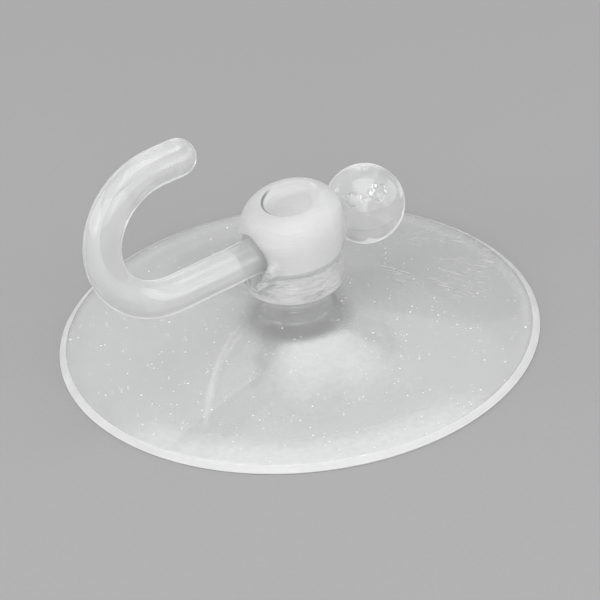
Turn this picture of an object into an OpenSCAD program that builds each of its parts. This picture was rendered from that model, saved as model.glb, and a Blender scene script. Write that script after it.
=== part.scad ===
// Suction cup hook: a clear soft cup whose head carries a plastic hook rod.
// The cup lies on its sealing face. The rod runs along X through the head, its bend
// towards -X and its round knob towards +X, and it swivels in the bore.
// Origin: centre of the sealing face. +Z: away from the surface that the cup grips.

/* [Skirt] */
// Outside diameter of the cup
cup_d = 45; // [38:0.5:60]
// Height of the skirt's upper surface at the foot of the neck
skirt_rise = 2.4; // [2:0.1:3.2]
// Height of the hollow under the middle of the cup
hollow_h = 1.2; // [0.6:0.1:1.5]
// Thickness of the skirt behind the bevelled edge
rim_t = 0.55; // [0.4:0.05:0.8]
// Thickness of the feather edge itself
edge_t = 0.15; // [0.1:0.05:0.3]
// Width of the bevel around the edge
bevel_w = 0.7; // [0.4:0.1:1.5]
// Width of the flat ring that seals against the surface
land_w = 1.6; // [1:0.1:3]
// How strongly the skirt curves up towards the neck
skirt_curve = 1.3; // [1:0.05:1.8]

/* [Neck and head] */
// Diameter of the neck
neck_d = 6.6; // [5.5:0.1:7.6]
// How far the neck flares out where it meets the skirt
foot_flare = 1; // [0.4:0.1:1.8]
// Height of that flare
foot_rise = 2.4; // [0.4:0.1:2.8]
// Diameter of the head
head_d = 9.4; // [9:0.1:11]
// Height of the head's underside above the surface
head_z = 5.6; // [4.8:0.1:8]
// Height of the head, underside to the middle of its crown
head_h = 8.7; // [8.3:0.1:10]
// Rounding of the crown's edge
crown_r = 2.1; // [1.4:0.1:2.2]
// Tilt of the crown: high on the knob's side, low on the bend's side
crown_tilt = 9; // [0:1:12]
// Rounding of the head's lower edge
base_r = 0.6; // [0.2:0.1:0.9]
// Diameter of the round recess in the crown, just under its mouth
recess_d = 4.9; // [4:0.1:5.2]
// Diameter of the recess's flat bottom
recess_floor_d = 3.6; // [2:0.1:4]
// How far the recess lies off the middle of the crown, towards the knob
recess_shift = 0.4; // [0:0.05:0.5]
// Depth of the recess
recess_depth = 1; // [0.4:0.1:1.3]
// Rounding of the recess's mouth
recess_round = 0.5; // [0.1:0.05:0.5]

/* [Bore and collars] */
// Height of the bore's centre above the head's underside
bore_up = 4.5; // [4.2:0.1:4.8]
// Tilt of the bore: the knob's end lies higher than the bend's end
bore_tilt = 2; // [0:0.5:4]
// Clearance between the rod and the bore, on the radius
bore_clear = 0.05; // [0.02:0.01:0.1]
// Length of the straight stretch of the bore
bore_straight = 6; // [5:0.5:7]
// Distance from the cup's axis to the middle of the mouth on the bend's side
bend_mouth_x = 3.7; // [3.5:0.05:4.4]
// Slant of that mouth: its lower side stands further out
bend_mouth_slant = 36; // [0:1:40]
// How much the bore widens there, on the radius
bend_mouth_flare = 0.9; // [0.1:0.05:1.1]
// Distance from the cup's axis to the middle of the mouth on the knob's side
knob_mouth_x = 4.35; // [4.2:0.05:4.8]
// Slant of that mouth: its upper side stands further out
knob_mouth_slant = 10; // [0:1:14]
// How much the bore widens there, on the radius
knob_mouth_flare = 0.4; // [0.1:0.05:0.45]
// Diameter of the collar where it leaves the head
collar_root_d = 6.8; // [5.8:0.1:7.4]
// Thickness of the rolled lip at each mouth
lip_t = 0.9; // [0.6:0.05:1.1]

/* [Hook rod] */
// Diameter of the rod
rod_d = 3.4; // [2.6:0.1:3.8]
// Distance from the cup's axis to the start of the bend
rod_reach = 12.6; // [11:0.1:16]
// Radius of the half-turn bend at the rod's centre line
bend_r = 6.6; // [5:0.05:8]
// Straight length after the bend, up to the rounded tip
arm_l = 2.2; // [1:0.1:5]
// Diameter of the round knob that holds the rod in the head
knob_d = 7.5; // [6.4:0.1:9]
// Gap between the knob and the lip that it stops against
knob_gap = 0.3; // [0.2:0.05:1]

/* [Hidden] */
$fn = 96;
arc_steps = 10;
skirt_steps = 14;
blend_fn = 48;
eps = 0.04;
cup_r = cup_d / 2;
neck_r = neck_d / 2;
head_r = head_d / 2;
rod_r = rod_d / 2;
bore_z = head_z + bore_up;
bore_r = rod_r + bore_clear;
recess_r = recess_d / 2;
recess_floor_r = recess_floor_d / 2;
lip_r = lip_t / 2;
knob_lip_r = bore_r + lip_r;
bend_lip_r = knob_lip_r + bend_mouth_flare / 2;
foot_x = neck_r + foot_flare;
foot_h = min(foot_rise, 0.8 * (head_z - skirt_rise));
skirt_x = cup_r - bevel_w;
wall_top = bore_z + bore_r;
crown_z = head_z + head_h;
crown_edge_r = min(crown_r, 0.45 * head_r);
knob_lip_x = knob_mouth_x + knob_lip_r * sin(knob_mouth_slant) + lip_r;
bend_lip_x = bend_mouth_x + bend_lip_r * sin(bend_mouth_slant) + lip_r;
knob_r = knob_d / 2;
knob_x = knob_lip_x + knob_gap + sqrt(knob_r * knob_r - knob_lip_r * knob_lip_r);

// Points of an arc round [cx, cz], from angle a0 to angle a1
function arc(cx, cz, r, a0, a1) =
    [for (i = [0:arc_steps]) let (a = a0 + (a1 - a0) * i / arc_steps)
        [cx + r * cos(a), cz + r * sin(a)]];

// Height of the skirt's upper surface at radius x
function skirt_top(x) =
    rim_t + (skirt_rise - rim_t) * pow((skirt_x - x) / (skirt_x - foot_x), skirt_curve);

// Height of the hollow at radius x, a shallow dome inside the sealing ring
function hollow_top(x) = hollow_h * (1 - pow(x / (cup_r - land_w), 2));

// Half section of the cup up to the head's straight wall, and back under the hollow
function cup_section() = concat(
    [[cup_r, 0], [cup_r, edge_t]],
    [for (i = [0:skirt_steps - 1]) let (x = skirt_x + (foot_x - skirt_x) * i / skirt_steps)
        [x, skirt_top(x)]],
    [for (p = arc(0, 0, 1, 270, 180))
        [foot_x + foot_flare * p[0], skirt_rise + foot_h * (1 + p[1])]],
    [[neck_r, head_z]],
    arc(head_r - base_r, head_z + base_r, base_r, 270, 360),
    [[head_r, wall_top], [0, wall_top]],
    [for (i = [0:skirt_steps - 1]) let (x = (cup_r - land_w) * i / skirt_steps)
        [x, hollow_top(x)]],
    [[cup_r - land_w, 0]]);

// The frame of the crown's top plane, tilted up towards the knob
module on_crown() {
    translate([0, 0, crown_z]) rotate([0, -crown_tilt, 0]) children();
}

// The rounded crown, blended down into the head's wall
module crown() {
    hull() {
        on_crown() translate([0, 0, -crown_edge_r])
            rotate_extrude($fn = blend_fn)
                translate([head_r - crown_edge_r, 0])
                    circle(r = crown_edge_r, $fn = blend_fn / 2);
        translate([0, 0, bore_z])
            cylinder(r = head_r - eps, h = bore_r - eps, $fn = blend_fn);
    }
}

// The round blind recess: tapered, with a softly rounded mouth
module recess() {
    on_crown() translate([recess_shift, 0, 0]) rotate_extrude()
        polygon(concat(
            [[0, -recess_depth], [recess_floor_r, -recess_depth]],
            arc(recess_r + recess_round, -recess_round, recess_round, 180, 90),
            [[recess_r + recess_round, recess_depth], [0, recess_depth]]));
}

// The frame of the rod: along X through the head, tilted with the bore
module on_rod() {
    translate([0, 0, bore_z]) rotate([0, -bore_tilt, 0]) children();
}

// One end of the collar round the bore: a short taper, cut on a slant, with a rolled lip
module mouth(x, slant, ring_r, reach) {
    intersection() {
        rotate([0, 90, 0]) cylinder(r1 = collar_root_d / 2, r2 = ring_r + lip_r, h = reach);
        translate([x, 0, 0]) rotate([0, slant, 0])
            translate([-2 * x, -head_r, -head_r]) cube([2 * x, head_d, head_d]);
    }
    translate([x, 0, 0]) rotate([0, 90 + slant, 0])
        rotate_extrude() translate([ring_r, 0]) circle(r = lip_r);
}

// Half of the bore: straight from the middle, then widening to its mouth
module half_bore(flare, reach) {
    flare_x = bore_straight / 2;
    rotate([0, 90, 0]) {
        translate([0, 0, -eps]) cylinder(r = bore_r, h = flare_x + 2 * eps);
        translate([0, 0, flare_x])
            cylinder(r1 = bore_r, r2 = bore_r + flare, h = reach - flare_x + eps);
    }
}

module suction_cup() {
    color([0.86, 0.89, 0.91, 0.6])
    difference() {
        union() {
            rotate_extrude() polygon(cup_section());
            crown();
            on_rod() {
                mouth(knob_mouth_x, knob_mouth_slant, knob_lip_r, knob_lip_x);
                rotate([0, 180, 0]) mouth(bend_mouth_x, bend_mouth_slant, bend_lip_r, bend_lip_x);
            }
        }
        recess();
        on_rod() {
            half_bore(knob_mouth_flare, knob_lip_x);
            rotate([0, 180, 0]) half_bore(bend_mouth_flare, bend_lip_x);
        }
    }
}

module hook() {
    color([0.93, 0.94, 0.95, 0.85])
    on_rod() {
        translate([-rod_reach, 0, 0]) rotate([0, 90, 0])
            cylinder(r = rod_r, h = rod_reach + knob_x);
        translate([knob_x, 0, 0]) sphere(r = knob_r);
        translate([-rod_reach, 0, bend_r]) rotate([90, 0, 0]) rotate([0, 0, 90])
            rotate_extrude(angle = 180) translate([bend_r, 0]) circle(r = rod_r);
        translate([-rod_reach, 0, 2 * bend_r]) {
            rotate([0, 90, 0]) cylinder(r = rod_r, h = arm_l);
            translate([arm_l, 0, 0]) sphere(r = rod_r);
        }
    }
}

suction_cup();
hook();
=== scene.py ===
# A clear suction cup with a plastic hook rod through its head, lying on its rim
import math
from math import radians

import bmesh
import bpy
from mathutils import Matrix, Vector, noise


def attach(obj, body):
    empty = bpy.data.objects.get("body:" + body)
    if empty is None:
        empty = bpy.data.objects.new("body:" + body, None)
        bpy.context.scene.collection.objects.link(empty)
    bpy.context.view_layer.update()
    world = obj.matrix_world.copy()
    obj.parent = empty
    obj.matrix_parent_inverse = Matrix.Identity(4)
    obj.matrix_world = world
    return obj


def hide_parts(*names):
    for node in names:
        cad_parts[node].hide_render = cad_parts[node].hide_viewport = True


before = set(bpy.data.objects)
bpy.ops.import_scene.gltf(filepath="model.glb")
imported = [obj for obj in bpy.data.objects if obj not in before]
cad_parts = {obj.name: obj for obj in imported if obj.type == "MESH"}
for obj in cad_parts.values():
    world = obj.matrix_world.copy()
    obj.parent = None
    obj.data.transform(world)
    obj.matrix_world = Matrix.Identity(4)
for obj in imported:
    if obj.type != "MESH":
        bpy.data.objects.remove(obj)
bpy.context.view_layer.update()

MM = 0.001  # the sizes below are in millimetres, and this turns them into metres

# Skirt, as in the part's source
CUP_R = 22.49
SKIRT_RISE = 2.4
HOLLOW_H = 1.2
RIM_T = 0.55
EDGE_T = 0.15
BEVEL_W = 0.7
LAND_W = 1.6
SKIRT_CURVE = 1.3

# Neck and head
NECK_R = 3.3
FOOT_FLARE = 1.0
FOOT_RISE = 2.4
HEAD_R = 4.7
HEAD_Z = 5.6
HEAD_H = 8.7
CROWN_R = 2.1
CROWN_TILT = radians(9)
BASE_R = 0.6
RECESS_R = 2.45
RECESS_FLOOR_R = 1.8
RECESS_SHIFT = 0.4
RECESS_DEPTH = 1.0
RECESS_ROUND = 0.5
SOURCE_EPS = 0.04  # how far the crown's hull stands inside the wall

# Bore and its mouths
BORE_Z = 10.1
BORE_TILT = radians(2)
BORE_R = 1.75
BORE_STRAIGHT = 6.0
COLLAR_ROOT_R = 3.4
LIP_R = 0.45
BEND_MOUTH_X = 3.7
BEND_MOUTH_SLANT = radians(36)
BEND_MOUTH_FLARE = 0.9
BEND_LIP_R = BORE_R + LIP_R + BEND_MOUTH_FLARE / 2
BEND_LIP_X = BEND_MOUTH_X + BEND_LIP_R * math.sin(BEND_MOUTH_SLANT) + LIP_R
KNOB_MOUTH_X = 4.35
KNOB_MOUTH_SLANT = radians(10)
KNOB_MOUTH_FLARE = 0.4
KNOB_LIP_R = BORE_R + LIP_R
KNOB_LIP_X = KNOB_MOUTH_X + KNOB_LIP_R * math.sin(KNOB_MOUTH_SLANT) + LIP_R

# Hook rod
ROD_R = 1.7
ROD_REACH = 12.6
BEND_R = 6.6
ARM_L = 2.2
KNOB_R = 3.75
KNOB_X = 8.52

# Fineness of the meshes
SKIRT_RINGS = 56
SKIRT_SEGMENTS = 288
CROWN_SEGMENTS = 120
HEAD_VOXEL = 0.13
SOFTENING_PASSES = 8
ROD_SEGMENTS = 72
KNOB_STEPS = 40
ROD_STEPS = 40
BEND_STEPS = 96
ARM_STEPS = 8
TIP_STEPS = 15
FILLET_STEPS = 8

# Small allowances of the moulded shapes
SOFT_EDGE = 0.05  # bevel of the skirt's edges
NECK_JOIN = 4.9  # height where the skirt's solid meets the head's
NECK_OVERLAP = 0.4
NECK_STEP = 0.02
OVERRUN = 0.3  # how far the bore's cutter sticks out of each mouth
KNOB_FILLET = 0.5  # length of the fillet between the rod and the knob

# Voids in the knob: offset from the knob's middle, and radius
VOIDS = (((-0.44, 0.48, 0.26), 0.55), ((0.91, -0.18, 0.52), 0.6))

# Where one finish gives way to the next
NECK_BOUND = 3.0
HEAD_BOUND = 5.3
BASE_BOUND = 6.15
MILK_BOUND = 8.9
LOW_LIP_BOUND = 4.3
KNOB_BOUND = 5.5


def arc(cx, cz, r, a0, a1, steps):
    """Points of an arc round (cx, cz), its angles in degrees."""
    angles = [radians(a0 + (a1 - a0) * i / steps) for i in range(steps + 1)]
    return [(cx + r * math.cos(a), cz + r * math.sin(a)) for a in angles]


def object_from(bm, name):
    """Turn a bmesh into an object of the scene."""
    mesh = bpy.data.meshes.new(name)
    bm.to_mesh(mesh)
    bm.free()
    obj = bpy.data.objects.new(name, mesh)
    bpy.context.collection.objects.link(obj)
    return obj


def smooth(obj):
    for face in obj.data.polygons:
        face.use_smooth = True


def revolve(profile, name, segments=128, matrix=None):
    """Closed solid of revolution round Z of (radius, height) points; radius 0 becomes a pole."""
    bm = bmesh.new()
    rings = []
    for r, z in profile:
        if r < 1e-6:
            rings.append([bm.verts.new((0, 0, z))])
            continue
        ring = []
        for k in range(segments):
            a = 2 * math.pi * k / segments
            ring.append(bm.verts.new((r * math.cos(a), r * math.sin(a), z)))
        rings.append(ring)
    closed = len(rings[0]) > 1 and len(rings[-1]) > 1
    pairs = list(zip(rings, rings[1:])) + ([(rings[-1], rings[0])] if closed else [])
    for low, high in pairs:
        for k in range(segments):
            n = (k + 1) % segments
            if len(low) == len(high) == 1:
                continue
            if len(low) == 1:
                bm.faces.new((low[0], high[k], high[n]))
            elif len(high) == 1:
                bm.faces.new((low[k], high[0], low[n]))
            else:
                bm.faces.new((low[k], high[k], high[n], low[n]))
    if matrix is not None:
        bmesh.ops.transform(bm, matrix=matrix, verts=bm.verts)
    bmesh.ops.recalc_face_normals(bm, faces=bm.faces)
    return object_from(bm, name)


def settled(obj):
    """Apply an object's modifiers and return it."""
    depsgraph = bpy.context.evaluated_depsgraph_get()
    mesh = bpy.data.meshes.new_from_object(obj.evaluated_get(depsgraph))
    obj.modifiers.clear()
    old = obj.data
    obj.data = mesh
    bpy.data.meshes.remove(old)
    return obj


def combine(obj, other, operation):
    """Boolean one object with another, which is used up."""
    mod = obj.modifiers.new("combine", "BOOLEAN")
    mod.operation = operation
    mod.solver = "EXACT"
    mod.object = other
    settled(obj)
    bpy.data.objects.remove(other)
    return obj


def on_rod():
    """The rod's frame: X along the rod, tilted with the bore."""
    return Matrix.Translation((0, 0, BORE_Z)) @ Matrix.Rotation(-BORE_TILT, 4, "Y")


def on_crown():
    """The crown's top plane, tilted up towards the knob."""
    return Matrix.Translation((0, 0, HEAD_Z + HEAD_H)) @ Matrix.Rotation(-CROWN_TILT, 4, "Y")


def skirt_top(r):
    """Height of the skirt's upper surface at radius r."""
    run = CUP_R - BEVEL_W
    foot = NECK_R + FOOT_FLARE
    return RIM_T + (SKIRT_RISE - RIM_T) * ((run - r) / (run - foot)) ** SKIRT_CURVE


def hollow_top(r):
    """Height of the hollow under the cup at radius r."""
    return HOLLOW_H * (1 - (r / (CUP_R - LAND_W)) ** 2)


def make_skirt():
    """The skirt and the lower half of the neck as one fine solid of revolution."""
    run = CUP_R - BEVEL_W
    foot = NECK_R + FOOT_FLARE
    soft = SOFT_EDGE
    top = [run + (foot - run) * i / SKIRT_RINGS for i in range(1, SKIRT_RINGS)]
    under = [(CUP_R - LAND_W) * i / SKIRT_RINGS for i in range(1, SKIRT_RINGS)]
    bevel = (RIM_T - EDGE_T) / BEVEL_W
    profile = [(CUP_R - soft, 0), (CUP_R, soft), (CUP_R, EDGE_T - soft / 2)]
    profile += [(CUP_R - soft, EDGE_T + soft * bevel)]
    profile += [(run + soft, RIM_T - soft * bevel), (run - soft, skirt_top(run - soft))]
    profile += [(r, skirt_top(r)) for r in top]
    for x, z in arc(0, 0, 1, 270, 180, 24):
        profile.append((foot + FOOT_FLARE * x, SKIRT_RISE + FOOT_RISE * (1 + z)))
    neck_top = NECK_JOIN + NECK_OVERLAP
    profile += [(NECK_R, neck_top), (0, neck_top), (0, HOLLOW_H)]
    profile += [(r, hollow_top(r)) for r in under]
    profile += [(CUP_R - LAND_W, 0), (CUP_R - LAND_W + soft, 0)]
    return revolve(profile, "skirt", segments=SKIRT_SEGMENTS)


def make_crown():
    """The rounded crown, blended down into the head's wall: a hull of two rings."""
    bm = bmesh.new()
    ring = on_crown() @ Matrix.Translation((0, 0, -CROWN_R))
    for k in range(CROWN_SEGMENTS):
        a = 2 * math.pi * k / CROWN_SEGMENTS
        for r, z in arc(HEAD_R - CROWN_R, 0, CROWN_R, -60, 90, 20):
            bm.verts.new(ring @ Vector((r * math.cos(a), r * math.sin(a), z)))
        low = HEAD_R - SOURCE_EPS
        bm.verts.new((low * math.cos(a), low * math.sin(a), BORE_Z))
        bm.verts.new((low * math.cos(a), low * math.sin(a), BORE_Z + BORE_R))
    hull = bmesh.ops.convex_hull(bm, input=bm.verts)
    loose = [g for g in hull["geom_interior"] if isinstance(g, bmesh.types.BMVert)]
    bmesh.ops.delete(bm, geom=loose, context="VERTS")
    bmesh.ops.recalc_face_normals(bm, faces=bm.faces)
    return object_from(bm, "crown")


def make_mouth(x, slant, ring_r, reach, turn):
    """One end of the collar: a short taper cut on a slant, and its rolled lip."""
    place = on_rod() @ Matrix.Rotation(turn, 4, "Y")
    along = Matrix.Rotation(math.pi / 2, 4, "Y")
    cone = [(0, 0), (COLLAR_ROOT_R, 0), (ring_r + LIP_R, reach), (0, reach)]
    collar = revolve(cone, "collar", matrix=place @ along)
    cut = place @ Matrix.Translation((x, 0, 0)) @ Matrix.Rotation(slant, 4, "Y")
    bm = bmesh.new()
    side = 10
    box = Matrix.Translation((side / 2, 0, 0)) @ Matrix.Scale(side, 4)
    bmesh.ops.create_cube(bm, size=1, matrix=cut @ box)
    combine(collar, object_from(bm, "cut"), "DIFFERENCE")
    ring = [(ring_r + c, s) for c, s in arc(0, 0, LIP_R, 0, 345, 23)]
    lip = revolve(ring, "lip", segments=96, matrix=cut @ along)
    return combine(collar, lip, "UNION")


def make_head():
    """The head with its crown, recess, collars and bore, softened all over like a moulding."""
    wall = [(0, NECK_JOIN), (NECK_R + NECK_STEP, NECK_JOIN), (NECK_R + NECK_STEP, HEAD_Z)]
    wall += arc(HEAD_R - BASE_R, HEAD_Z + BASE_R, BASE_R, 270, 360, 10)
    wall += [(HEAD_R, BORE_Z + BORE_R), (0, BORE_Z + BORE_R)]
    head = revolve(wall, "head")
    combine(head, make_crown(), "UNION")
    knob_mouth = make_mouth(KNOB_MOUTH_X, KNOB_MOUTH_SLANT, KNOB_LIP_R, KNOB_LIP_X, 0)
    combine(head, knob_mouth, "UNION")
    bend_mouth = make_mouth(BEND_MOUTH_X, BEND_MOUTH_SLANT, BEND_LIP_R, BEND_LIP_X, math.pi)
    combine(head, bend_mouth, "UNION")
    cutter = [(0, -RECESS_DEPTH), (RECESS_FLOOR_R, -RECESS_DEPTH)]
    cutter += arc(RECESS_R + RECESS_ROUND, -RECESS_ROUND, RECESS_ROUND, 180, 90, 8)
    cutter += [(RECESS_R + RECESS_ROUND, 1), (0, 1)]
    recess_place = on_crown() @ Matrix.Translation((RECESS_SHIFT, 0, 0))
    combine(head, revolve(cutter, "recess", matrix=recess_place), "DIFFERENCE")
    half = BORE_STRAIGHT / 2
    bend_r = BORE_R + BEND_MOUTH_FLARE * (1 + OVERRUN / (BEND_LIP_X - half))
    knob_r = BORE_R + KNOB_MOUTH_FLARE * (1 + OVERRUN / (KNOB_LIP_X - half))
    bore = [(0, -BEND_LIP_X - OVERRUN), (bend_r, -BEND_LIP_X - OVERRUN), (BORE_R, -half)]
    bore += [(BORE_R, half), (knob_r, KNOB_LIP_X + OVERRUN), (0, KNOB_LIP_X + OVERRUN)]
    along = on_rod() @ Matrix.Rotation(math.pi / 2, 4, "Y")
    combine(head, revolve(bore, "bore", matrix=along), "DIFFERENCE")
    mod = head.modifiers.new("even", "REMESH")
    mod.mode = "VOXEL"
    mod.voxel_size = HEAD_VOXEL
    mod = head.modifiers.new("soften", "SMOOTH")
    mod.factor = 0.5
    mod.iterations = SOFTENING_PASSES
    return settled(head)


def make_cup():
    """The whole cup as one closed mesh, in metres."""
    cup = combine(make_skirt(), make_head(), "UNION")
    cup.name = "clear_cup"
    cup.data.transform(Matrix.Scale(MM, 4))
    smooth(cup)
    return cup


def hook_path():
    """Stations of the hook's sweep, from knob to tip: x, z, direction and radius."""
    fillet_r = ROD_R + KNOB_FILLET / 2
    start = math.atan2(fillet_r, math.sqrt(KNOB_R ** 2 - fillet_r ** 2))
    stations = []
    for i in range(1, KNOB_STEPS + 1):
        a = (math.pi - start) * i / KNOB_STEPS
        stations.append((KNOB_X + KNOB_R * math.cos(a), 0, math.pi, KNOB_R * math.sin(a)))
    x_knob = stations[-1][0]
    for i in range(1, FILLET_STEPS + 1):
        t = i / FILLET_STEPS
        r = ROD_R + KNOB_FILLET / 2 * (1 - t) ** 2
        stations.append((x_knob - KNOB_FILLET * t, 0, math.pi, r))
    x_rod = x_knob - KNOB_FILLET
    for i in range(1, ROD_STEPS + 1):
        stations.append((x_rod - (x_rod + ROD_REACH) * i / ROD_STEPS, 0, math.pi, ROD_R))
    for i in range(1, BEND_STEPS + 1):
        a = math.pi * i / BEND_STEPS
        x = -ROD_REACH - BEND_R * math.sin(a)
        stations.append((x, BEND_R * (1 - math.cos(a)), math.pi - a, ROD_R))
    for i in range(1, ARM_STEPS + 1):
        stations.append((-ROD_REACH + ARM_L * i / ARM_STEPS, 2 * BEND_R, 0, ROD_R))
    for i in range(1, TIP_STEPS + 1):
        a = math.pi / 2 * i / (TIP_STEPS + 1)
        x = -ROD_REACH + ARM_L + ROD_R * math.sin(a)
        stations.append((x, 2 * BEND_R, 0, ROD_R * math.cos(a)))
    return stations


def add_voids(bm, place):
    """Two shrinkage voids inside the knob, as shells that face inwards."""
    for offset, size in VOIDS:
        centre = place @ Vector((KNOB_X, 0, 0)) + Vector(offset)
        shell = bmesh.ops.create_icosphere(bm, subdivisions=4, radius=size)["verts"]
        for v in shell:
            dent = 0.25 * noise.noise(v.co * 3 + Vector(offset) * 5)
            crease = 0.14 * noise.noise(v.co * 8)
            v.co = centre + v.co * (1 + (dent + crease))
        faces = {f for v in shell for f in v.link_faces}
        bmesh.ops.reverse_faces(bm, faces=list(faces))


def make_hook():
    """The hook as one sweep with a knob at one end and a rounded tip at the other."""
    bm = bmesh.new()
    around = ROD_SEGMENTS
    place = on_rod()
    rings = []
    for x, z, heading, r in hook_path():
        side = Vector((0, 1, 0))
        up = Vector((-math.sin(heading), 0, math.cos(heading)))
        centre = Vector((x, 0, z))
        ring = []
        for k in range(around):
            a = 2 * math.pi * k / around
            spoke = math.cos(a) * side + math.sin(a) * up
            ring.append(bm.verts.new(place @ (centre + r * spoke)))
        rings.append(ring)
    for low, high in zip(rings, rings[1:]):
        for k in range(around):
            n = (k + 1) % around
            bm.faces.new((low[k], low[n], high[n], high[k]))
    first = bm.verts.new(place @ Vector((KNOB_X + KNOB_R, 0, 0)))
    last = bm.verts.new(place @ Vector((-ROD_REACH + ARM_L + ROD_R, 0, 2 * BEND_R)))
    for k in range(around):
        n = (k + 1) % around
        bm.faces.new((first, rings[0][n], rings[0][k]))
        bm.faces.new((last, rings[-1][k], rings[-1][n]))
    bmesh.ops.recalc_face_normals(bm, faces=bm.faces)
    add_voids(bm, place)
    hook = object_from(bm, "hook_rod")
    hook.data.transform(Matrix.Scale(MM, 4))
    smooth(hook)
    return hook


def node(tree, kind, inputs=None, **settings):
    """Add a node, set its properties, and set or link its inputs."""
    made = tree.nodes.new(kind)
    for name, value in settings.items():
        setattr(made, name, value)
    for socket, value in (inputs or {}).items():
        if isinstance(value, bpy.types.NodeSocket):
            tree.links.new(value, made.inputs[socket])
        else:
            made.inputs[socket].default_value = value
    return made


def maths(tree, operation, a, b=0.0, c=0.0, clamp=False):
    """A maths node; c counts only where the operation takes three values."""
    made = node(tree, "ShaderNodeMath", {0: a, 1: b, 2: c}, operation=operation)
    made.use_clamp = clamp
    return made.outputs[0]


def product(tree, value, *others):
    for other in others:
        value = maths(tree, "MULTIPLY", value, other)
    return value


def ramp(tree, value, low, high, to_low=0.0, to_high=1.0):
    """A smooth, clamped map of a value from one range to another."""
    inputs = {"Value": value, "From Min": low, "From Max": high, "To Min": to_low, "To Max": to_high}
    return node(tree, "ShaderNodeMapRange", inputs, interpolation_type="SMOOTHSTEP").outputs["Result"]


def fade(tree, value, low, high):
    """1 up to the low value, 0 from the high value on."""
    return ramp(tree, value, low, high, 1.0, 0.0)


def mottle(tree, place, scale, detail=2.0, distortion=0.0):
    """Noise from 0 to 1; scale is in waves a metre."""
    inputs = {"Vector": place, "Scale": scale, "Detail": detail, "Distortion": distortion}
    return node(tree, "ShaderNodeTexNoise", inputs).outputs["Fac"]


def axes_of(tree, place):
    return node(tree, "ShaderNodeSeparateXYZ", {0: place}).outputs


def turned(tree, place, angle):
    """The place, turned round Z."""
    inputs = {"Vector": place, "Angle": angle}
    return node(tree, "ShaderNodeVectorRotate", inputs, rotation_type="Z_AXIS").outputs[0]


def stretched(tree, place, scales):
    return node(tree, "ShaderNodeVectorMath", {0: place, 1: scales}, operation="MULTIPLY").outputs[0]


def axis_distance(tree, place):
    """Distance from the Z axis."""
    flat = stretched(tree, place, (1, 1, 0))
    return node(tree, "ShaderNodeVectorMath", {0: flat}, operation="LENGTH").outputs["Value"]


def group(name, inputs, output):
    """A node group with a place, float inputs with their usual values, and one float output."""
    tree = bpy.data.node_groups.new(name, "ShaderNodeTree")
    tree.interface.new_socket("Place", in_out="INPUT", socket_type="NodeSocketVector")
    for label, value in inputs.items():
        socket = tree.interface.new_socket(label, in_out="INPUT", socket_type="NodeSocketFloat")
        socket.default_value = value
    tree.interface.new_socket(output, in_out="OUTPUT", socket_type="NodeSocketFloat")
    return tree, tree.nodes.new("NodeGroupInput").outputs, tree.nodes.new("NodeGroupOutput").inputs[0]


SPECK_SIZE = (0.04, 0.13)  # smallest and largest speck, as a share of its cell
DUST_DRIFT = 260.0


def dust_group():
    """White specks of dust, spread unevenly: Coverage is the share of cells that hold one."""
    tree, given, out = group("dust_specks", {"Cell": 0.0009, "Coverage": 0.3}, "Mask")
    scale = maths(tree, "DIVIDE", 1.0, given["Cell"])
    cells = node(tree, "ShaderNodeTexVoronoi", {"Vector": given["Place"], "Scale": scale})
    chance = node(tree, "ShaderNodeSeparateColor", {"Color": cells.outputs["Color"]}).outputs
    drift = ramp(tree, mottle(tree, given["Place"], DUST_DRIFT), 0.35, 0.7, 0.3, 1.7)
    held = maths(tree, "LESS_THAN", chance[0], product(tree, given["Coverage"], drift))
    least, most = SPECK_SIZE
    size = maths(tree, "MULTIPLY_ADD", chance[1], most - least, least)
    near = maths(tree, "LESS_THAN", cells.outputs["Distance"], size)
    tree.links.new(product(tree, held, near), out)
    return tree


SCRATCH_WAVES = (500.0, 9000.0, 500.0)  # long one way, thin the other
SCRATCH_PATCHES = 170.0


def scratch_group():
    """Short straight scratches that run about one way, in patches."""
    tree, given, out = group("fine_scratches", {"Angle": 0.5, "Coverage": 0.2}, "Mask")
    drawn = stretched(tree, turned(tree, given["Place"], given["Angle"]), SCRATCH_WAVES)
    line = ramp(tree, mottle(tree, drawn, 1.0, detail=1.0), 0.64, 0.72)
    patch = ramp(tree, mottle(tree, given["Place"], SCRATCH_PATCHES), 0.44, 0.62)
    tree.links.new(product(tree, line, patch, given["Coverage"]), out)
    return tree


def haze_group():
    """Slow uneven haze of a moulded plastic, from 0 to 1."""
    tree, given, out = group("moulding_haze", {"Patch": 0.006}, "Haze")
    scale = maths(tree, "DIVIDE", 1.0, given["Patch"])
    tree.links.new(ramp(tree, mottle(tree, given["Place"], scale, detail=3.0), 0.3, 0.7), out)
    return tree


FLOW_SQUASH = (0.6, 0.6, 5.0)
FLOW_WAVES = 800.0


def flow_group():
    """Fine wavy lines round the head, where the plastic flowed in the mould."""
    tree, given, out = group("flow_lines", {}, "Flow")
    flat = stretched(tree, given["Place"], FLOW_SQUASH)
    tree.links.new(mottle(tree, flat, FLOW_WAVES, detail=4.0, distortion=1.5), out)
    return tree


BORE_SHADE_FADE = (0.1 * MM, 0.45 * MM)  # where the painted shade line starts to fade and where it ends


def painted_bore_shade_group():
    """Painted shade: a soft grey line in the head along the bore's lower edge, where that edge would
    show through.
    """
    tree, given, out = group("painted_bore_edge_shade", {}, "Line")
    along = axes_of(tree, given["Place"])
    edge = maths(tree, "MULTIPLY_ADD", along[0], -math.tan(BORE_TILT), along[2])
    off = maths(tree, "ABSOLUTE", maths(tree, "SUBTRACT", edge, MILK_BOUND * MM))
    tree.links.new(fade(tree, off, *BORE_SHADE_FADE), out)
    return tree


def placed(tree, shared, place, **values):
    """One of the shared effects, put into a material."""
    made = node(tree, "ShaderNodeGroup", node_tree=shared)
    tree.links.new(place, made.inputs["Place"])
    for label, value in values.items():
        made.inputs[label].default_value = value
    return made.outputs[0]


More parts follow.
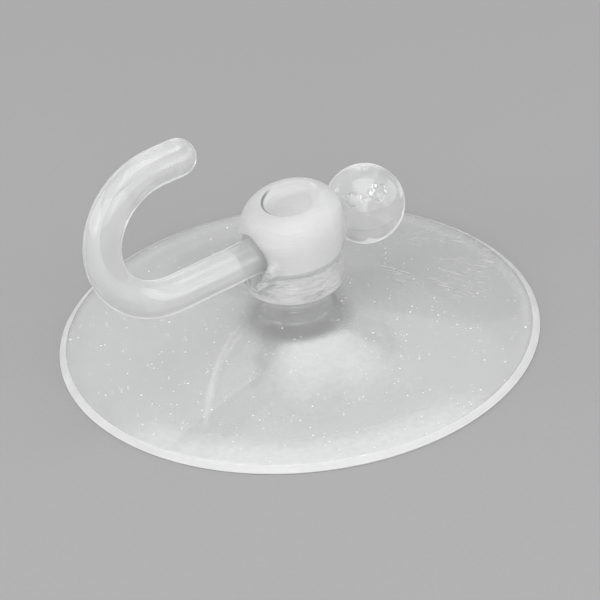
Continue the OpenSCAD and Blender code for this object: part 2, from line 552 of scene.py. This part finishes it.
WHITE = (1, 1, 1)
BLACK = (0, 0, 0)
NEAR_WHITE = (0.97, 0.975, 0.98)
FROST_GREY = (0.93, 0.935, 0.94)
SHADE_LINE_GREY = (0.66, 0.67, 0.68)
RECESS_SHADE_GREY = (0.3, 0.31, 0.32)


def tone(tree, mask, low, high):
    """A colour that goes with a mask from one, a grey or a socket, to another grey."""
    low = low if isinstance(low, bpy.types.NodeSocket) else (*low, 1)
    inputs = {0: mask, 6: low, 7: (*high, 1)}
    return node(tree, "ShaderNodeMix", inputs, data_type="RGBA").outputs[2]


def new_material(name):
    """A material with a bare shader, and the place on the object for its effects."""
    mat = bpy.data.materials.new(name)
    mat.use_nodes = True
    tree = mat.node_tree
    tree.nodes.clear()
    shader = node(tree, "ShaderNodeBsdfPrincipled")
    node(tree, "ShaderNodeOutputMaterial", {"Surface": shader.outputs[0]})
    place = node(tree, "ShaderNodeTexCoord").outputs["Object"]
    return mat, tree, shader, place


SOFT_IOR = 1.5
HARD_IOR = 1.49
MILK_DEPTH = 3 * MM
SHEEN_ROUGHNESS = 0.34


def plastic(shader, clearness, ior, milk=0.0, sheen=0.0):
    """The finish that is the same all over a clear plastic."""
    shader.inputs["Transmission Weight"].default_value = clearness
    shader.inputs["IOR"].default_value = ior
    shader.inputs["Subsurface Weight"].default_value = milk
    shader.inputs["Subsurface Scale"].default_value = MILK_DEPTH
    shader.inputs["Subsurface Radius"].default_value = (1, 1, 1)
    shader.inputs["Sheen Weight"].default_value = sheen
    shader.inputs["Sheen Roughness"].default_value = SHEEN_ROUGHNESS


def finish(tree, shader, **made):
    """Link what the nodes make to the shader: base_color, roughness, alpha and so on."""
    for label, value in made.items():
        tree.links.new(value, shader.inputs[label.replace("_", " ").title()])


def raised(tree, height, strength, depth):
    """A normal bumped by a height; depth is in metres."""
    inputs = {"Height": height, "Strength": strength, "Distance": depth}
    return node(tree, "ShaderNodeBump", inputs).outputs[0]


# Painted reflections and a painted highlight on the skirt, drawn as whiter, less clear plastic: turns
# round Z to each form's own side, and reaches along the skirt
FAN_TURN = radians(18)
FAN_SPREAD = (-1.0, -0.7)
FAN_START = (4.5 * MM, 6 * MM)
FAN_END = (6.5 * MM, 17.5 * MM)
RIM_TURN = radians(32.6)
BAND_SPREAD = (-0.95, -0.5)
BAND_REACH = (16.5 * MM, 21.8 * MM)
STREAK_START = (0.0, 2 * MM)
STREAK_END = (13 * MM, 17.5 * MM)
STREAK_CURL = 6 * MM
STREAK_SWING = 5.2 * MM
STREAK_SIDE = -9.4 * MM
STREAK_WIDTH = 0.7 * MM
STREAK_WHITE = 0.4


def painted_reflections(tree, place, r):
    """Painted light as whiter plastic: a painted reflection fanning from the neck, a painted
    highlight band along the rim and a thin curved painted reflection of the rod.
    """
    fan_y = axes_of(tree, turned(tree, place, FAN_TURN))[1]
    fan = product(tree, fade(tree, maths(tree, "DIVIDE", fan_y, r), *FAN_SPREAD),
                  ramp(tree, r, *FAN_START), fade(tree, r, *FAN_END))
    side_x, side_y = axes_of(tree, turned(tree, place, RIM_TURN))[:2]
    band = product(tree, fade(tree, maths(tree, "DIVIDE", side_y, r), *BAND_SPREAD),
                   ramp(tree, r, *BAND_REACH))
    ahead = maths(tree, "MULTIPLY", side_y, -1.0)
    curl = maths(tree, "EXPONENT", maths(tree, "DIVIDE", ahead, -STREAK_CURL))
    course = maths(tree, "MULTIPLY_ADD", curl, STREAK_SWING, STREAK_SIDE)
    off = maths(tree, "ABSOLUTE", maths(tree, "SUBTRACT", side_x, course))
    streak = product(tree, ramp(tree, off, 0.0, STREAK_WIDTH, STREAK_WHITE, 0.0),
                     ramp(tree, ahead, *STREAK_START), fade(tree, ahead, *STREAK_END))
    return maths(tree, "MAXIMUM", maths(tree, "MAXIMUM", fan, band), streak)


SCRATCH_TURN = radians(60)
SCRATCHED = (16.8 * MM, -0.6 * MM, 1 * MM)
SCRATCHED_REACH = (4 * MM, 8.5 * MM)


def worn_patch(tree, place):
    """The part of the skirt that is scratched, fading out around it."""
    away = node(tree, "ShaderNodeVectorMath", {0: place, 1: SCRATCHED}, operation="DISTANCE")
    return fade(tree, away.outputs["Value"], *SCRATCHED_REACH)


SKIRT_ALPHA = 0.44  # how much of the skirt's haze hides what lies under it
NECK_ALPHA = 0.15
CLEAR_REACH = (3.6 * MM, 6.5 * MM)
GLOSS_REACH = (4.5 * MM, 8 * MM)
# Painted light: the skirt's dust specks glow white, though they are no lamp
SPECK_GLOW = 0.25
GRAIN_WAVES = 1500.0
RIPPLE_WAVES = 900.0


def skirt_material(effects):
    """Clear soft plastic: a faint haze, painted reflections and a painted highlight, dust specks and
    short scratches.
    """
    mat, tree, shader, place = new_material("clear_soft_plastic")
    plastic(shader, 0.45, SOFT_IOR)
    shader.inputs["Coat IOR"].default_value = 2.0
    shader.inputs["Coat Roughness"].default_value = 0.05
    shader.inputs["Emission Strength"].default_value = SPECK_GLOW
    r = axis_distance(tree, place)
    cloud = placed(tree, effects["haze"], place, Patch=0.007)
    coarse = placed(tree, effects["dust"], place, Cell=0.0008, Coverage=0.5)
    fine = placed(tree, effects["dust"], place, Cell=0.00045, Coverage=0.45)
    specks = maths(tree, "MAXIMUM", coarse, maths(tree, "MULTIPLY", fine, 0.7))
    marks = placed(tree, effects["scratches"], place, Angle=SCRATCH_TURN, Coverage=1.7)
    marked = maths(tree, "MAXIMUM", specks, product(tree, marks, worn_patch(tree, place)))
    # The mottle below breaks up the painted reflections; the mask after it holds those together with
    # the dust specks and scratches
    grain = ramp(tree, mottle(tree, place, GRAIN_WAVES, detail=3.0), 0.3, 0.7, 0.8, 1.0)
    solid = maths(tree, "MAXIMUM", product(tree, painted_reflections(tree, place, r), grain), marked)
    clear = ramp(tree, r, *CLEAR_REACH, NECK_ALPHA, SKIRT_ALPHA)
    rest = product(tree, maths(tree, "SUBTRACT", 1.0, clear), ramp(tree, solid, 0.0, 1.0))
    rough = maths(tree, "MULTIPLY_ADD", cloud, 0.08, 0.06)
    height = maths(tree, "MULTIPLY_ADD", marked, 0.35, mottle(tree, place, RIPPLE_WAVES))
    finish(tree, shader,
           base_color=tone(tree, marked, NEAR_WHITE, WHITE),
           roughness=maths(tree, "MULTIPLY_ADD", marked, 0.7, rough),
           coat_weight=ramp(tree, r, *GLOSS_REACH),
           alpha=maths(tree, "ADD", clear, rest, clamp=True),
           # painted light: the dust specks glow
           emission_color=tone(tree, specks, BLACK, WHITE),
           normal=raised(tree, height, 0.15, 0.01 * MM))
    return mat


def neck_material(effects):
    """The neck, clear and glossy right through."""
    mat, tree, shader, place = new_material("clear_neck_plastic")
    plastic(shader, 0.88, SOFT_IOR)
    cloud = placed(tree, effects["haze"], place, Patch=0.002)
    finish(tree, shader,
           base_color=tone(tree, cloud, FROST_GREY, WHITE),
           roughness=ramp(tree, cloud, 0, 1, 0.04, 0.12))
    return mat


def rim_material(effects):
    """The skirt's frosted feather edge, which catches the light."""
    mat, tree, shader, place = new_material("frosted_soft_plastic")
    plastic(shader, 0.5, SOFT_IOR)
    cloud = placed(tree, effects["haze"], place, Patch=0.002)
    finish(tree, shader,
           base_color=tone(tree, cloud, FROST_GREY, WHITE),
           roughness=ramp(tree, cloud, 0, 1, 0.3, 0.5))
    return mat


# The painted shade line round the recess's mouth: its radius, width, side and depth
CRESCENT_R = 2.66 * MM
CRESCENT_LINE = (0.04 * MM, 0.16 * MM)
CRESCENT_SIDE = (-1.4 * MM, 0.0)
CRESCENT_DEPTH = (-1.4 * MM, -1 * MM)


def painted_recess_shade(tree, place):
    """Painted shade: a thin grey line round the recess's mouth, on the side of the bend."""
    top = node(tree, "ShaderNodeMapping", {"Vector": place}, vector_type="TEXTURE")
    top.inputs["Location"].default_value = (0, 0, (HEAD_Z + HEAD_H) * MM)
    top.inputs["Rotation"].default_value = (0, -CROWN_TILT, 0)
    inputs = {0: top.outputs[0], 1: (-RECESS_SHIFT * MM, 0, 0)}
    centred = node(tree, "ShaderNodeVectorMath", inputs, operation="ADD").outputs[0]
    r = axis_distance(tree, centred)
    x, _, z = axes_of(tree, centred)
    off = maths(tree, "ABSOLUTE", maths(tree, "SUBTRACT", r, CRESCENT_R))
    return product(tree, fade(tree, off, *CRESCENT_LINE), ramp(tree, z, *CRESCENT_DEPTH),
                   fade(tree, x, *CRESCENT_SIDE))


def milky_material(effects):
    """The same plastic where it is thick, round the bore and in the crown: white and cloudy."""
    mat, tree, shader, place = new_material("milky_soft_plastic")
    plastic(shader, 0.48, SOFT_IOR, milk=1.0, sheen=0.6)
    cloud = placed(tree, effects["haze"], place, Patch=0.003)
    specks = placed(tree, effects["dust"], place, Cell=0.0007, Coverage=0.1)
    # painted shade round the recess's mouth, over the haze
    base = tone(tree, painted_recess_shade(tree, place), tone(tree, cloud, NEAR_WHITE, WHITE), RECESS_SHADE_GREY)
    height = maths(tree, "MAXIMUM", placed(tree, effects["flow"], place), specks)
    finish(tree, shader,
           # painted shade line along the bore's lower edge
           base_color=tone(tree, placed(tree, effects["painted_bore_shade"], place), base, SHADE_LINE_GREY),
           roughness=ramp(tree, cloud, 0, 1, 0.08, 0.18),
           normal=raised(tree, height, 0.6, 0.2 * MM))
    return mat


def ridged_material(effects):
    """The head's low wall: clearer, with fine flow ridges round it and painted shade in their
    grooves.
    """
    mat, tree, shader, place = new_material("ridged_soft_plastic")
    plastic(shader, 0.5, SOFT_IOR, sheen=0.8)
    cloud = placed(tree, effects["haze"], place, Patch=0.003)
    specks = placed(tree, effects["dust"], place, Cell=0.0007, Coverage=0.1)
    flow = placed(tree, effects["flow"], place)
    # Painted shade: darker where the flow ridges' height is low, in patches
    dark = product(tree, fade(tree, flow, 0.42, 0.5), ramp(tree, cloud, 0.35, 0.65))
    base = tone(tree, dark, WHITE, SHADE_LINE_GREY)
    height = maths(tree, "MAXIMUM", flow, specks)
    finish(tree, shader,
           # painted shade line along the bore's lower edge
           base_color=tone(tree, placed(tree, effects["painted_bore_shade"], place), base, SHADE_LINE_GREY),
           roughness=ramp(tree, cloud, 0, 1, 0.05, 0.12),
           normal=raised(tree, height, 1.0, 0.5 * MM))
    return mat


def rod_material(effects):
    """Hard plastic, milky and a little frosted, on the rod and the bend."""
    mat, tree, shader, place = new_material("milky_hook_plastic")
    plastic(shader, 0.78, HARD_IOR, sheen=1.0)
    cloud = placed(tree, effects["haze"], place, Patch=0.004)
    specks = placed(tree, effects["dust"], place, Cell=0.001, Coverage=0.12)
    marks = placed(tree, effects["scratches"], place, Angle=0.2, Coverage=0.06)
    marked = maths(tree, "MAXIMUM", specks, marks)
    finish(tree, shader,
           base_color=tone(tree, cloud, NEAR_WHITE, WHITE),
           roughness=ramp(tree, cloud, 0, 1, 0.1, 0.2),
           normal=raised(tree, marked, 0.3, 0.02 * MM))
    return mat


def knob_material(effects):
    """The same plastic in the knob, where it is clear enough to show the voids inside."""
    mat, tree, shader, place = new_material("clear_hook_plastic")
    plastic(shader, 0.84, HARD_IOR, sheen=1.0)
    cloud = placed(tree, effects["haze"], place, Patch=0.003)
    specks = placed(tree, effects["dust"], place, Cell=0.001, Coverage=0.12)
    finish(tree, shader,
           base_color=tone(tree, cloud, NEAR_WHITE, WHITE),
           roughness=ramp(tree, cloud, 0, 1, 0.04, 0.1),
           normal=raised(tree, specks, 0.3, 0.02 * MM))
    return mat


FLOOR_TONE = 0.37
FLOOR_GRAIN = 2500.0


def floor_material():
    """A plain pale floor with a faint fine grain."""
    mat, tree, shader, place = new_material("pale_floor")
    low = (FLOOR_TONE * 0.97,) * 3
    high = (FLOOR_TONE * 1.03,) * 3
    finish(tree, shader, base_color=tone(tree, mottle(tree, place, FLOOR_GRAIN), low, high))
    shader.inputs["Roughness"].default_value = 0.9
    shader.inputs["Specular IOR Level"].default_value = 0.1
    return mat


# The photograph's camera, fitted to the rim and the hook
AZIMUTH = radians(327.4)
ELEVATION = radians(32.6)
ROLL = radians(5.29)
AIM = (0, 0, 3.41)
AIM_RIGHT = 0.355
DISTANCE = 241.3
LENS = 155.8
SENSOR = 36
NEAREST = 10 * MM


def direction(azimuth, elevation):
    """Unit vector from the object to something at an azimuth and an elevation."""
    return Vector((math.sin(azimuth) * math.cos(elevation),
                   -math.cos(azimuth) * math.cos(elevation), math.sin(elevation)))


def set_camera():
    right = Vector((math.cos(AZIMUTH), math.sin(AZIMUTH), 0))
    back = direction(AZIMUTH, ELEVATION)
    up = back.cross(right)
    turned_right = math.cos(ROLL) * right - math.sin(ROLL) * up
    up = back.cross(turned_right)
    camera = bpy.data.cameras.new("camera")
    camera.lens = LENS
    camera.sensor_width = SENSOR
    camera.clip_start = NEAREST
    obj = bpy.data.objects.new("camera", camera)
    place = (Vector(AIM) + turned_right * AIM_RIGHT + back * DISTANCE) * MM
    axes = Matrix((turned_right, up, back)).transposed().to_4x4()
    obj.matrix_world = Matrix.Translation(place) @ axes
    bpy.context.collection.objects.link(obj)
    bpy.context.scene.camera = obj


WORLD_TONE = 0.36
FLOOR_HALF = 2.0
FLOOR_DROP = 0.02 * MM

# Lamps: azimuth from straight behind the object and elevation, in degrees; distance, width and
# height, in metres; radiance; and turn about the lamp's own axis, in degrees
SOFTBOXES = {
    "top_softbox": (180, 80, 0.65, 0.65, 0.65, 1.42, 0),
    "front_left_softbox": (-148, 28, 0.7, 1.0, 0.5, 1.4, 0),
    "front_right_softbox": (150, 28, 0.7, 1.0, 0.5, 1.16, 0),
    "left_softbox": (-95, 16, 0.6, 0.9, 0.3, 1.9, 0),
    "right_softbox": (90, 16, 0.6, 0.9, 0.3, 1.55, 0),
    "back_panel": (-8, 40, 0.8, 0.5, 0.42, 0.48, 30),
}


def softbox(name, azimuth, elevation, distance, width, height, radiance, spin):
    """A rectangular area lamp that faces the object."""
    lamp = bpy.data.lights.new(name, "AREA")
    lamp.shape = "RECTANGLE"
    lamp.size = width
    lamp.size_y = height
    lamp.energy = radiance * math.pi * width * height
    obj = bpy.data.objects.new(name, lamp)
    towards = direction(AZIMUTH + math.pi - radians(azimuth), radians(elevation))
    obj.location = towards * distance
    facing = towards.to_track_quat("Z", "Y").to_matrix() @ Matrix.Rotation(radians(spin), 3, "Z")
    obj.rotation_euler = facing.to_euler()
    bpy.context.collection.objects.link(obj)


def set_stage():
    """The floor, the world and the lamps."""
    bm = bmesh.new()
    bmesh.ops.create_grid(bm, x_segments=1, y_segments=1, size=FLOOR_HALF)
    floor = object_from(bm, "floor")
    floor.location.z = -FLOOR_DROP
    floor.data.materials.append(floor_material())
    world = bpy.data.worlds.new("studio")
    world.use_nodes = True
    world.node_tree.nodes["Background"].inputs["Color"].default_value = (*(WORLD_TONE,) * 3, 1)
    bpy.context.scene.world = world
    for name, values in SOFTBOXES.items():
        softbox(name, *values)
    bpy.context.scene.view_settings.view_transform = "Standard"


CUP_FINISHES = (skirt_material, milky_material, rim_material, ridged_material, neck_material)
SKIRT, MILKY, RIM, RIDGED, NECK = range(len(CUP_FINISHES))


def cup_finish(x, y, z):
    """Which finish a face of the cup has, by its middle in millimetres."""
    on_low_lip = x < -LOW_LIP_BOUND and z < BORE_Z
    above_line = z - x * math.tan(BORE_TILT) > MILK_BOUND
    if above_line and not on_low_lip or HEAD_BOUND < z < BASE_BOUND:
        return MILKY
    if z > HEAD_BOUND:
        return RIDGED
    if z > NECK_BOUND:
        return NECK
    on_bevel = z > EDGE_T and math.hypot(x, y) > CUP_R - BEVEL_W
    return RIM if on_bevel else SKIRT


def main():
    set_camera()
    set_stage()
    effects = {"dust": dust_group(), "scratches": scratch_group(), "haze": haze_group(),
               "flow": flow_group(), "painted_bore_shade": painted_bore_shade_group()}
    cup = make_cup()
    for material in CUP_FINISHES:
        cup.data.materials.append(material(effects))
    for face in cup.data.polygons:
        face.material_index = cup_finish(*(face.center / MM))
    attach(cup, "cup")
    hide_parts("suction_cup")
    hook = make_hook()
    hook.data.materials.append(rod_material(effects))
    hook.data.materials.append(knob_material(effects))
    for face in hook.data.polygons:
        face.material_index = int(face.center.x > KNOB_BOUND * MM)
    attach(hook, "hook")
    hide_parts("hook")


main()
